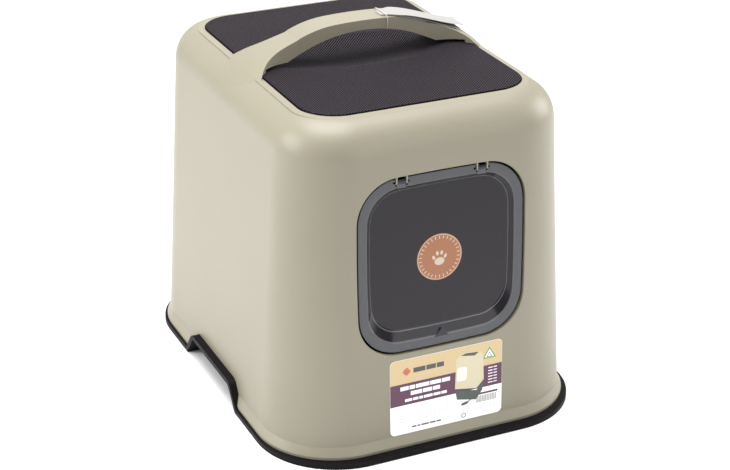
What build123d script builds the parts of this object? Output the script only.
from build123d import *
import os

# A hooded cat litter box in its storage state. The dark litter tray stands upside down on
# the floor, with its rim flange down. The hood stands on that flange and covers the tray.
# Units are millimetres. +Z is up and the front, with the flap, faces -Y.
# The origin is on the floor at the middle of the flange.

os.makedirs("parts", exist_ok=True)

# ---------------------------------------------------------------- driving dimensions
box_width = 395.0            # over the tray flange, along X
box_depth = 510.0            # over the tray flange, along Y
flange_radius = 100.0        # corner radius of the flange in plan
flange_thickness = 6.0
clearance = 0.3              # between pieces that move apart

# Lifting arches in both long sides, in the flange and in the hood's lower edge.
arch_centre = 3.0            # Y of the middle of each arch
arch_height = 28.0
arch_foot_half = 84.0        # half length at the floor
arch_top_half = 62.0         # half length at the top
arch_round = 9.0

# Litter tray, upside down.
tray_wall = 2.5
tray_height = 112.0
tray_mouth = (170.0, -222.0, 228.0, 75.0)     # half width, front Y, rear Y, corner radius
tray_base = (156.0, -206.0, 212.0, 62.0)
tray_edge_round = 14.0
foot_radius = 12.0
foot_height = 2.0
foot_spread = (236.0, 336.0)     # distances between the feet along X and Y

# Hood, described by its outer plan outlines at four levels.
hood_wall = 2.5
lip_top = 9.5
lip_blend_top = 19.5
hood_top = 400.0
hood_lip = (194.0, -243.5, 250.0, 94.0)
hood_foot = (189.0, -237.2, 245.7, 88.0)
hood_head = (167.0, -224.0, 225.0, 72.0)
hood_top_round = 42.0

# Top panel and its seat in the hood.
panel_half_width = 135.5
panel_half_depth = 186.0
panel_radius = 44.0
panel_top = 401.4
seat_level = 396.4
ledge_bottom = 393.4
ledge_width = 8.0
panel_skin = 2.4
panel_rim = 4.0
panel_edge_round = 2.4
hook_size = (2.0, 14.0)      # thickness and width of a snap hook's leg
hook_reach = 2.4
hook_drop = 4.5              # below the ledge
hook_gap = 1.4               # between the ledge and the hook's leg
hook_side_y = 110.0          # of the hooks in the long sides
hook_end_x = 60.0            # of the hooks in the ends
dish_depth = 10.0
dish_half_length = 121.0
dish_axis_rise = 150.0       # height of the dish's turning axis above the panel

# Carrying handle, an arched channel over the top panel.
handle_centre = 3.0          # Y of the handle's middle
handle_crest = 442.2
handle_wall = 2.5
handle_half_width = 18.0
handle_crown_half = 35.0     # half length of the nearly level crown
handle_crown_drop = 1.0
handle_shoulder = 80.0       # distance out where the flaring root begins
handle_base = 340.0          # level that the roots reach down to, inside the hood's wall
# The root at rising distances out: (distance, level of its top, half width, crown).
handle_stations = (
    (handle_shoulder, 430.3, handle_half_width, 0.3),
    (92.0, 426.0, 18.8, 0.4),
    (104.0, 422.0, 20.8, 0.6),
    (116.0, 417.4, 25.0, 1.0),
    (126.0, 413.2, 31.5, 2.2),
    (134.0, 409.2, 40.0, 5.0),
    (141.0, 404.8, 49.0, 8.0),
    (150.0, 397.5, 54.0, 10.0),
    (158.0, 388.0, 56.0, 11.0),
    (165.0, 374.0, 57.0, 12.0),
    (169.0, 358.0, 58.0, 12.0),
)
channel_stations = 7         # how many of them the hollow reaches to
# The arch under the handle: half length and level of the bow's ends, its crown and its feet.
grip_bow = (75.0, 414.1)
grip_crown = 430.6
grip_foot = (116.0, 395.2)

# Entrance and flap.
entrance_level = 229.0       # Z of the middle of the entrance
entrance_gap = 2.2
entrance_return = 5.5        # depth of the turned-in edge round the entrance
flap_half_width = 99.8
flap_half_height = 103.0
flap_bow = 2.2               # how far each side bows outwards
flap_radius = 49.0
flap_skin = 2.2
flap_recess = 2.4            # flap face behind the hood face
flap_rim = 10.0
flap_dish_depth = 6.0
flap_dish_side = 7.0         # width of the dish's sloped side
flap_dish_foot = 15.0        # width of the dish's sloped lower side
flap_edge_round = 0.8
rib_half_width = 8.5         # of the finger rib at the foot of the flap
rib_levels = (-95.0, -85.5)  # about the entrance's middle
rib_height = 0.8

# Flap hinge.
hinge_x = 49.0
hinge_level = 329.0
hinge_pin_radius = 1.5
hinge_running = 0.05         # radial clearance of the flap lug on its pin
hinge_cheek = 1.6
hinge_lug = 10.0
hinge_side_play = 0.4
hinge_boss_radius = 2.7
hinge_notch = 14.8            # width of the opening in the flap for one hinge
hinge_notch_reach = 20.0
hinge_notch_depth = 4.4      # below the hinge axis

# Scoop, lying on the upturned tray.
scoop_x = -92.0
scoop_front = -18.0
scoop_length = 122.0         # of the bowl
scoop_height = 34.0
scoop_foot = (46.0, 10.0, 112.0, 18.0)       # outline about scoop_x and scoop_front
scoop_rim = (56.0, 0.0, 122.0, 24.0)
scoop_wall = 2.2
scoop_lip = 9.0              # height of the low front lip
scoop_slots = 7
scoop_slot_pitch = 11.0
scoop_slot_size = (6.0, 74.0)
scoop_lip_rise = (14.0, 78.0)                # how far back the lip's slope starts and ends
scoop_grip = (24.0, 112.0, 9.0)              # width, length, thickness
scoop_grip_overlap = 6.0                     # of the grip and the bowl

# Paper and film trim.
label_size = (143.0, 95.0)
label_middle = (5.2, 67.4)   # X and Z of the label's middle
label_radius = 6.0
sticker_radius = 28.0
film = 0.35

# Hang tag and its thread, round the handle. Each leaf follows a few points (X, Z).
tag_centre = 1.0             # Y of the tag's middle
tag_width = 34.0
tag_sheet = 0.5
tag_corner = (22.0, 10.0)    # cut from each corner at the folded end
tag_lower_line = ((27.0, 442.1), (60.0, 438.2), (92.0, 427.0), (128.0, 414.4))
tag_upper_line = ((27.0, 443.2), (60.0, 439.7), (92.0, 428.9), (134.0, 417.0))
thread_x = 31.5
thread_radius = 0.6
thread_bend = 1.6


# ---------------------------------------------------------------- shared outlines
def plan_outline(outline, inset=0.0):
    """A rounded rectangle in plan: half width, front Y, rear Y, corner radius."""
    half_width, front, rear, radius = outline
    with BuildSketch() as plan:
        with Locations((0, (front + rear) / 2)):
            RectangleRounded(2 * (half_width - inset), rear - front - 2 * inset, radius - inset)
    return plan.sketch


def arch_face(grow=0.0):
    """The open area under a lifting arch, seen along X and grown all round."""
    with BuildSketch() as arch:
        with BuildLine():
            Polyline(
                (arch_centre - arch_foot_half, -20),
                (arch_centre - arch_foot_half, 0),
                (arch_centre - arch_top_half, arch_height),
                (arch_centre + arch_top_half, arch_height),
                (arch_centre + arch_foot_half, 0),
                (arch_centre + arch_foot_half, -20),
                close=True,
            )
        make_face()
        levels = vertices().group_by(Axis.Y)
        fillet(levels[-1] + levels[-2], arch_round)
        if grow:
            offset(amount=grow)
    return arch.sketch


front_lean = (hood_head[1] - hood_foot[1]) / (hood_top - lip_blend_top)


def front_face_y(level):
    """Y of the hood's sloping front face at a height."""
    return hood_foot[1] + front_lean * (level - lip_blend_top)


entrance_plane = Plane(
    origin=(0, front_face_y(entrance_level), entrance_level),
    x_dir=(1, 0, 0),
    z_dir=(0, -1, front_lean),
)


def door_outline(shrink=0.0, foot_shrink=None):
    """The bowed, rounded square of the entrance and flap, about the entrance plane's origin."""
    foot_shrink = shrink if foot_shrink is None else foot_shrink
    right = flap_half_width - shrink
    top = flap_half_height - shrink
    foot = -flap_half_height + foot_shrink
    middle = (top + foot) / 2
    with BuildSketch() as door:
        with BuildLine():
            ThreePointArc((-right, foot), (0, foot - flap_bow), (right, foot))
            ThreePointArc((right, foot), (right + flap_bow, middle), (right, top))
            ThreePointArc((right, top), (0, top + flap_bow), (-right, top))
            ThreePointArc((-right, top), (-right - flap_bow, middle), (-right, foot))
        make_face()
        fillet(vertices(), flap_radius - 0.75 * shrink)
    return door.sketch


def drafted_block(sections, top_round, inset=0.0):
    """A solid through plan outlines at rising levels, with its top edge rounded."""
    with BuildPart() as block:
        for pair in zip(sections, sections[1:]):
            for level, outline in pair:
                with BuildSketch(Plane.XY.offset(level)):
                    add(plan_outline(outline, inset))
            loft(ruled=True)
        fillet(faces().sort_by(Axis.Z)[-1].edges(), top_round)
    return block.part


# ---------------------------------------------------------------- litter tray
tub = drafted_block([(0, tray_mouth), (tray_height, tray_base)], tray_edge_round)
tub_hollow = drafted_block(
    [(0, tray_mouth), (tray_height - tray_wall, tray_base)],
    tray_edge_round - tray_wall,
    tray_wall,
)

with BuildPart() as tray:
    # The flange, arched over both lifting holds.
    with BuildSketch(Plane.YZ):
        with Locations((0, flange_thickness / 2)):
            Rectangle(box_depth + 2, flange_thickness)
        add(arch_face(flange_thickness))
        with Locations((0, -20)):
            Rectangle(box_depth + 2, 40, mode=Mode.SUBTRACT)
        add(arch_face(), mode=Mode.SUBTRACT)
    extrude(amount=box_width / 2 + 1, both=True)
    with BuildSketch():
        RectangleRounded(box_width, box_depth, flange_radius)
    extrude(amount=arch_height + 2 * flange_thickness, mode=Mode.INTERSECT)
    add(tub)
    add(tub_hollow, mode=Mode.SUBTRACT)
    # Feet of the tray, now uppermost.
    with BuildSketch(Plane.XY.offset(tray_height - tray_wall / 2)):
        with GridLocations(*foot_spread, 2, 2):
            Circle(foot_radius)
    extrude(amount=foot_height + tray_wall / 2)

tray.part.label = "tray"
export_step(tray.part, "parts/tray.step")

# ---------------------------------------------------------------- hood shell
def under_crown(inset=0.0):
    """The middle of the handle under its top line, seen along Y."""
    crest = handle_crest - inset
    with BuildSketch() as side:
        with BuildLine():
            crown = ThreePointArc(
                (-handle_crown_half, crest - handle_crown_drop),
                (0, crest),
                (handle_crown_half, crest - handle_crown_drop),
            )
            shoulder_level = handle_stations[0][1] - inset
            flank = TangentArc(crown @ 1, (handle_shoulder, shoulder_level), tangent=crown % 1)
            wall = Line(flank @ 1, (handle_shoulder, handle_base))
            for edge in (flank, wall):
                mirror(edge, about=Plane.YZ)
            Line(wall @ 1, (-handle_shoulder, handle_base))
        make_face()
    return side.sketch


def root_section(station, inset=0.0):
    """The handle's root cut across at a station, as (Y, Z)."""
    top, half_width, crown = station[1] - inset, station[2] - inset, station[3]
    left, right = handle_centre - half_width, handle_centre + half_width
    with BuildSketch() as section:
        with BuildLine():
            arc = ThreePointArc((left, top - crown), (handle_centre, top), (right, top - crown))
            Polyline(arc @ 1, (right, handle_base), (left, handle_base), arc @ 0)
        make_face()
    return section.sketch


def handle_bar(stations, inset=0.0):
    """The handle with its two flaring roots, or with an inset the hollow inside it."""
    with BuildPart() as bar:
        for station in stations:
            with BuildSketch(Plane.YZ.offset(station[0])):
                add(root_section(station, inset))
        loft()
        mirror(about=Plane.YZ)
        with BuildSketch(Plane.XZ.offset(-handle_centre)):
            add(under_crown(inset))
        extrude(amount=handle_half_width - inset, both=True)
    return bar.part


hood_levels = [
    (flange_thickness + clearance, hood_lip),
    (lip_top, hood_lip),
    (lip_blend_top, hood_foot),
    (hood_top, hood_head),
]
hood_solid = drafted_block(hood_levels, hood_top_round)
cavity_levels = [(0, hood_lip)] + hood_levels[1:-1] + [(hood_top - hood_wall, hood_head)]
hood_cavity = drafted_block(cavity_levels, hood_top_round - hood_wall, hood_wall)
handle_channel = handle_bar(handle_stations[:channel_stations], handle_wall) - hood_solid
hinge_axis_y = front_face_y(hinge_level) + flap_recess + flap_skin / 2

with BuildPart() as hood_shell:
    add(hood_solid)
    add(handle_bar(handle_stations))
    add(hood_cavity, mode=Mode.SUBTRACT)
    add(handle_channel, mode=Mode.SUBTRACT)
    # Finger room under the handle.
    with BuildSketch(Plane.XZ.offset(-handle_centre)):
        with BuildLine():
            bow = ThreePointArc((-grip_bow[0], grip_bow[1]), (0, grip_crown), grip_bow)
            Polyline(bow @ 1, grip_foot, (-grip_foot[0], grip_foot[1]), bow @ 0)
        make_face()
    extrude(amount=2 * handle_half_width, both=True, mode=Mode.SUBTRACT)
    # Ledge that carries the top panel, then the panel's seat and the opening through it.
    panel_outline = (panel_half_width, -panel_half_depth, panel_half_depth, panel_radius)
    with BuildSketch(Plane.XY.offset(ledge_bottom)):
        add(plan_outline(panel_outline, -ledge_width))
    extrude(amount=hood_top - hood_wall / 2 - ledge_bottom)
    with BuildSketch(Plane.XY.offset(seat_level)):
        add(plan_outline(panel_outline, -clearance))
    extrude(amount=panel_top + clearance - seat_level, mode=Mode.SUBTRACT)
    with BuildSketch(Plane.XY.offset(ledge_bottom - 5)):
        add(plan_outline(panel_outline, ledge_width))
    extrude(amount=hood_top - ledge_bottom + 10, mode=Mode.SUBTRACT)
    # Entrance with its turned-in edge.
    with BuildSketch(entrance_plane.offset(-hood_wall / 2)):
        add(door_outline(-entrance_gap - hood_wall))
    extrude(amount=hood_wall / 2 - entrance_return)
    with BuildSketch(entrance_plane.offset(5)):
        add(door_outline(-entrance_gap))
    extrude(amount=-entrance_return - 10, mode=Mode.SUBTRACT)
    outwards = Axis(entrance_plane.origin, entrance_plane.z_dir)
    reach = flap_half_height + 3 * entrance_gap
    in_front_face = edges().filter_by_position(outwards, -0.1, 0.1)
    round_entrance = in_front_face.filter_by_position(
        Axis.Z, entrance_level - reach, entrance_level + reach
    ).filter_by(lambda edge: edge.length < 2 * flap_half_height)
    fillet(round_entrance, flap_edge_round)
    # Hinge cheeks, two for each flap lug.
    cheek_offset = (hinge_lug + hinge_cheek) / 2 + hinge_side_play
    cheek_top = entrance_level + flap_half_height + entrance_gap + flap_bow
    for side in (-hinge_x, hinge_x):
        for step in (-cheek_offset, cheek_offset):
            with BuildSketch(Plane.YZ.offset(side + step)):
                with Locations((hinge_axis_y, hinge_level)):
                    Circle(hinge_boss_radius)
                with Locations((hinge_axis_y, (hinge_level + cheek_top) / 2)):
                    Rectangle(2 * hinge_boss_radius, cheek_top - hinge_level)
            extrude(amount=hinge_cheek / 2, both=True)
            with BuildSketch(Plane.YZ.offset(side + step)):
                with Locations((hinge_axis_y, hinge_level)):
                    Circle(hinge_pin_radius)
            extrude(amount=hinge_cheek, both=True, mode=Mode.SUBTRACT)
    # Lifting arches in the lower edge.
    with BuildSketch(Plane.YZ):
        add(arch_face(flange_thickness + clearance))
    extrude(amount=box_width, both=True, mode=Mode.SUBTRACT)

hood_shell.part.label = "hood_shell"
export_step(hood_shell.part, "parts/hood_shell.step")

# ---------------------------------------------------------------- top panel
def dish_cutter(skin=0.0):
    """The shallow finger dish in the top panel, thickened by a skin on its lower side."""
    level = panel_top
    axis_level = level + dish_axis_rise
    with BuildPart() as dish:
        with BuildSketch(Plane.XZ):
            with BuildLine():
                bow = ThreePointArc(
                    (-dish_half_length - skin, level),
                    (0, level - dish_depth - skin),
                    (dish_half_length + skin, level),
                )
                Polyline(
                    bow @ 1,
                    (dish_half_length + skin, axis_level),
                    (-dish_half_length - skin, axis_level),
                    bow @ 0,
                )
            make_face()
        revolve(axis=Axis((0, 0, axis_level), (1, 0, 0)))
        split(bisect_by=Plane.XY.offset(level), keep=Keep.BOTTOM)
    return dish.part


dish_hollow = dish_cutter()
dish_shell = dish_cutter(panel_skin)

with BuildPart() as top_panel:
    with BuildSketch(Plane.XY.offset(seat_level)):
        add(plan_outline(panel_outline))
    extrude(amount=panel_top - seat_level)
    fillet(faces().sort_by(Axis.Z)[-1].edges(), panel_edge_round)
    with BuildSketch(Plane.XY.offset(seat_level)):
        add(plan_outline(panel_outline, panel_rim))
    extrude(amount=panel_top - panel_skin - seat_level, mode=Mode.SUBTRACT)
    with Locations((0, handle_centre, 0)):
        add(dish_shell)
        add(dish_hollow, mode=Mode.SUBTRACT)
    # Snap hooks under the ledge, two on each side.
    hook_thickness, hook_width = hook_size
    hook_x = panel_half_width - ledge_width - hook_gap
    hook_y = panel_half_depth - ledge_width - hook_gap
    hooks = [(side * hook_x, y, 90 - 90 * side) for side in (-1, 1) for y in (-hook_side_y, hook_side_y)]
    hooks += [(x, side * hook_y, 90 * side) for side in (-1, 1) for x in (-hook_end_x, hook_end_x)]
    for x, y, turn in hooks:
        outwards = Vector(1, 0, 0).rotate(Axis.Z, turn)
        hook_plane = Plane((x, y, ledge_bottom - hook_drop), x_dir=outwards, z_dir=(0, 0, 1))
        with BuildSketch(hook_plane):
            with Locations((-hook_thickness / 2, 0)):
                Rectangle(hook_thickness, hook_width)
        extrude(amount=panel_top - panel_skin / 2 - ledge_bottom + hook_drop)
        with BuildSketch(hook_plane):
            Rectangle(hook_thickness + hook_reach, hook_width)
        extrude(amount=hook_drop - clearance)

top_panel.part.label = "top_panel"
export_step(top_panel.part, "parts/top_panel.step")

# ---------------------------------------------------------------- flap
flap_plane = entrance_plane.offset(-flap_recess)
dish_floor_foot = flap_rim + flap_dish_foot


def flap_dish(skin, front_shrink, back_level):
    """The flap's shallow dish between the rim and its flat middle."""
    with BuildPart() as dish:
        with BuildSketch(flap_plane):
            add(door_outline(front_shrink))
        with BuildSketch(flap_plane.offset(back_level)):
            add(door_outline(flap_rim + flap_dish_side - skin, dish_floor_foot - skin))
        loft(ruled=True)
    return dish.part


dish_back = flap_dish(flap_skin, flap_rim - flap_skin / 2, -flap_dish_depth - flap_skin)
dish_front = flap_dish(0.0, flap_rim, -flap_dish_depth)

with BuildPart() as flap:
    with BuildSketch(flap_plane):
        add(door_outline())
    extrude(amount=-flap_skin)
    add(dish_back)
    add(dish_front, mode=Mode.SUBTRACT)
    rim_face = faces().sort_by(Axis(flap_plane.origin, flap_plane.z_dir))[-1]
    fillet(rim_face.edges(), flap_edge_round)
    # Notches in the top edge, with a hinge lug in each.
    for side in (-hinge_x, hinge_x):
        with BuildSketch(Plane.XY.offset(hinge_level - hinge_notch_depth)):
            with Locations((side, hinge_axis_y)):
                Rectangle(hinge_notch, hinge_notch_reach)
        extrude(amount=hinge_notch_reach, mode=Mode.SUBTRACT)
        with BuildSketch(Plane.YZ.offset(side)):
            with Locations((hinge_axis_y, hinge_level)):
                Circle(hinge_boss_radius)
            with Locations((hinge_axis_y, hinge_level - hinge_notch_depth / 2)):
                Rectangle(flap_skin, hinge_notch_depth + 2 * hinge_boss_radius)
        extrude(amount=hinge_lug / 2, both=True)
        with BuildSketch(Plane.YZ.offset(side)):
            with Locations((hinge_axis_y, hinge_level)):
                Circle(hinge_pin_radius + hinge_running)
        extrude(amount=hinge_lug, both=True, mode=Mode.SUBTRACT)
    # Finger rib at the middle of the lower edge.
    with BuildSketch(flap_plane.offset(rib_height)):
        with BuildLine():
            rib_foot, rib_tip = rib_levels
            Polyline((-rib_half_width, rib_foot), (rib_half_width, rib_foot), (0, rib_tip), close=True)
        make_face()
    extrude(amount=-rib_height - flap_skin)

flap.part.label = "flap"
export_step(flap.part, "parts/flap.step")

with BuildPart() as hinge_pins:
    pin_length = hinge_lug + 2 * (hinge_side_play + hinge_cheek)
    for side in (-hinge_x, hinge_x):
        with BuildSketch(Plane.YZ.offset(side)):
            with Locations((hinge_axis_y, hinge_level)):
                Circle(hinge_pin_radius)
        extrude(amount=pin_length / 2, both=True)

hinge_pins.part.label = "hinge_pins"
export_step(hinge_pins.part, "parts/hinge_pins.step")

# ---------------------------------------------------------------- scoop
def scoop_outline(outline):
    """A bowl outline moved to where the scoop lies."""
    return (outline[0], scoop_front + outline[1], scoop_front + outline[2], outline[3])


scoop_floor = tray_height + clearance
with BuildPart() as scoop_hollow:
    with BuildSketch(Plane.XY.offset(scoop_floor + scoop_wall)):
        with Locations((scoop_x, 0)):
            add(plan_outline(scoop_outline(scoop_foot), scoop_wall))
    with BuildSketch(Plane.XY.offset(scoop_floor + scoop_height + 1)):
        with Locations((scoop_x, 0)):
            add(plan_outline(scoop_outline(scoop_rim), scoop_wall))
    loft(ruled=True)

with BuildPart() as scoop:
    with BuildSketch(Plane.XY.offset(scoop_floor)):
        with Locations((scoop_x, 0)):
            add(plan_outline(scoop_outline(scoop_foot)))
    with BuildSketch(Plane.XY.offset(scoop_floor + scoop_height)):
        with Locations((scoop_x, 0)):
            add(plan_outline(scoop_outline(scoop_rim)))
    loft(ruled=True)
    # Grip, a channel open below.
    grip_width, grip_length, grip_thickness = scoop_grip
    grip_middle = scoop_front + scoop_length + grip_length / 2 - scoop_grip_overlap
    grip_top = scoop_floor + scoop_height
    with BuildSketch(Plane.XY.offset(grip_top - grip_thickness)):
        with Locations((scoop_x, grip_middle)):
            RectangleRounded(grip_width, grip_length, grip_width / 2 - 0.5)
    extrude(amount=grip_thickness)
    with BuildSketch(Plane.XY.offset(grip_top - grip_thickness)):
        with Locations((scoop_x, grip_middle)):
            RectangleRounded(
                grip_width - 2 * scoop_wall,
                grip_length - 2 * scoop_wall,
                grip_width / 2 - scoop_wall - 0.5,
            )
    extrude(amount=grip_thickness - scoop_wall, mode=Mode.SUBTRACT)
    add(scoop_hollow.part, mode=Mode.SUBTRACT)
    # Sifting slots in the floor.
    with BuildSketch(Plane.XY.offset(scoop_floor)):
        with Locations((scoop_x, scoop_front + scoop_length / 2)):
            with GridLocations(scoop_slot_pitch, 0, scoop_slots, 1):
                SlotOverall(scoop_slot_size[1], scoop_slot_size[0], rotation=90)
    extrude(amount=scoop_wall, both=True, mode=Mode.SUBTRACT)
    # Low front lip.
    with BuildSketch(Plane.YZ.offset(scoop_x)):
        with BuildLine():
            Polyline(
                (scoop_front - 5, scoop_floor + scoop_lip),
                (scoop_front + scoop_lip_rise[0], scoop_floor + scoop_lip),
                (scoop_front + scoop_lip_rise[1], scoop_floor + scoop_height + 2),
                (scoop_front - 5, scoop_floor + scoop_height + 2),
                close=True,
            )
        make_face()
    extrude(amount=box_width / 4, both=True, mode=Mode.SUBTRACT)

scoop.part.label = "scoop"
export_step(scoop.part, "parts/scoop.step")

# ---------------------------------------------------------------- label and sticker
with BuildPart() as front_label:
    with BuildSketch(entrance_plane):
        with Locations((label_middle[0], label_middle[1] - entrance_level)):
            RectangleRounded(*label_size, label_radius)
    extrude(amount=film)

front_label.part.label = "front_label"
export_step(front_label.part, "parts/front_label.step")

with BuildPart() as flap_sticker:
    with BuildSketch(flap_plane.offset(-flap_dish_depth)):
        Circle(sticker_radius)
    extrude(amount=film)

flap_sticker.part.label = "flap_sticker"
export_step(flap_sticker.part, "parts/flap_sticker.step")


# ---------------------------------------------------------------- hang tag and thread
def tag_leaf(line):
    """One leaf of the folded tag along a line of (X, Z) points, from the fold to its free end."""
    with BuildPart() as leaf:
        with BuildSketch(Plane.XZ.offset(-tag_centre)):
            with BuildLine():
                under = Spline(*line, tangents=[(1, -0.05), (1, -0.3)])
                over = Spline(*((x, z + tag_sheet) for x, z in line), tangents=[(1, -0.05), (1, -0.3)])
                Line(under @ 0, over @ 0)
                Line(under @ 1, over @ 1)
            make_face()
        extrude(amount=tag_width / 2, both=True)
    return leaf.part


with BuildPart() as hang_tag:
    add(tag_leaf(tag_lower_line))
    add(tag_leaf(tag_upper_line))
    fold_x, fold_low = tag_lower_line[0]
    fold_high = tag_upper_line[0][1] + tag_sheet
    with BuildSketch(Plane.XZ.offset(-tag_centre)):
        with Locations((fold_x, (fold_low + fold_high) / 2)):
            Rectangle(2 * tag_sheet, fold_high - fold_low)
    extrude(amount=tag_width / 2, both=True)
    # Cut corners at the folded end.
    with BuildSketch(Plane.XY.offset(fold_low - 10)):
        for side in (-1, 1):
            edge = tag_centre + side * tag_width / 2
            with BuildLine():
                Polyline(
                    (fold_x - 1, edge - side * tag_corner[1]),
                    (fold_x + tag_corner[0], edge + side),
                    (fold_x - 1, edge + side),
                    close=True,
                )
            make_face()
    extrude(amount=20, mode=Mode.SUBTRACT)

hang_tag.part.label = "hang_tag"
export_step(hang_tag.part, "parts/hang_tag.step")

thread_gap = thread_radius + clearance / 2
grip_sag = grip_crown - grip_bow[1]
thread_low = grip_crown - grip_sag * (thread_x / grip_bow[0]) ** 2 - 2 * thread_gap
thread_high = tag_upper_line[0][1] + tag_sheet + thread_gap
thread_half = handle_half_width + thread_gap
with BuildSketch(Plane.YZ.offset(thread_x)) as thread_loop:
    with Locations((handle_centre, (thread_low + thread_high) / 2)):
        RectangleRounded(2 * thread_half, thread_high - thread_low, thread_bend)
loop_wire = thread_loop.sketch.faces()[0].outer_wire()

with BuildPart() as tag_thread:
    with BuildSketch(Plane(loop_wire @ 0, z_dir=loop_wire % 0)):
        Circle(thread_radius)
    sweep(path=loop_wire)

tag_thread.part.label = "tag_thread"
export_step(tag_thread.part, "parts/tag_thread.step")
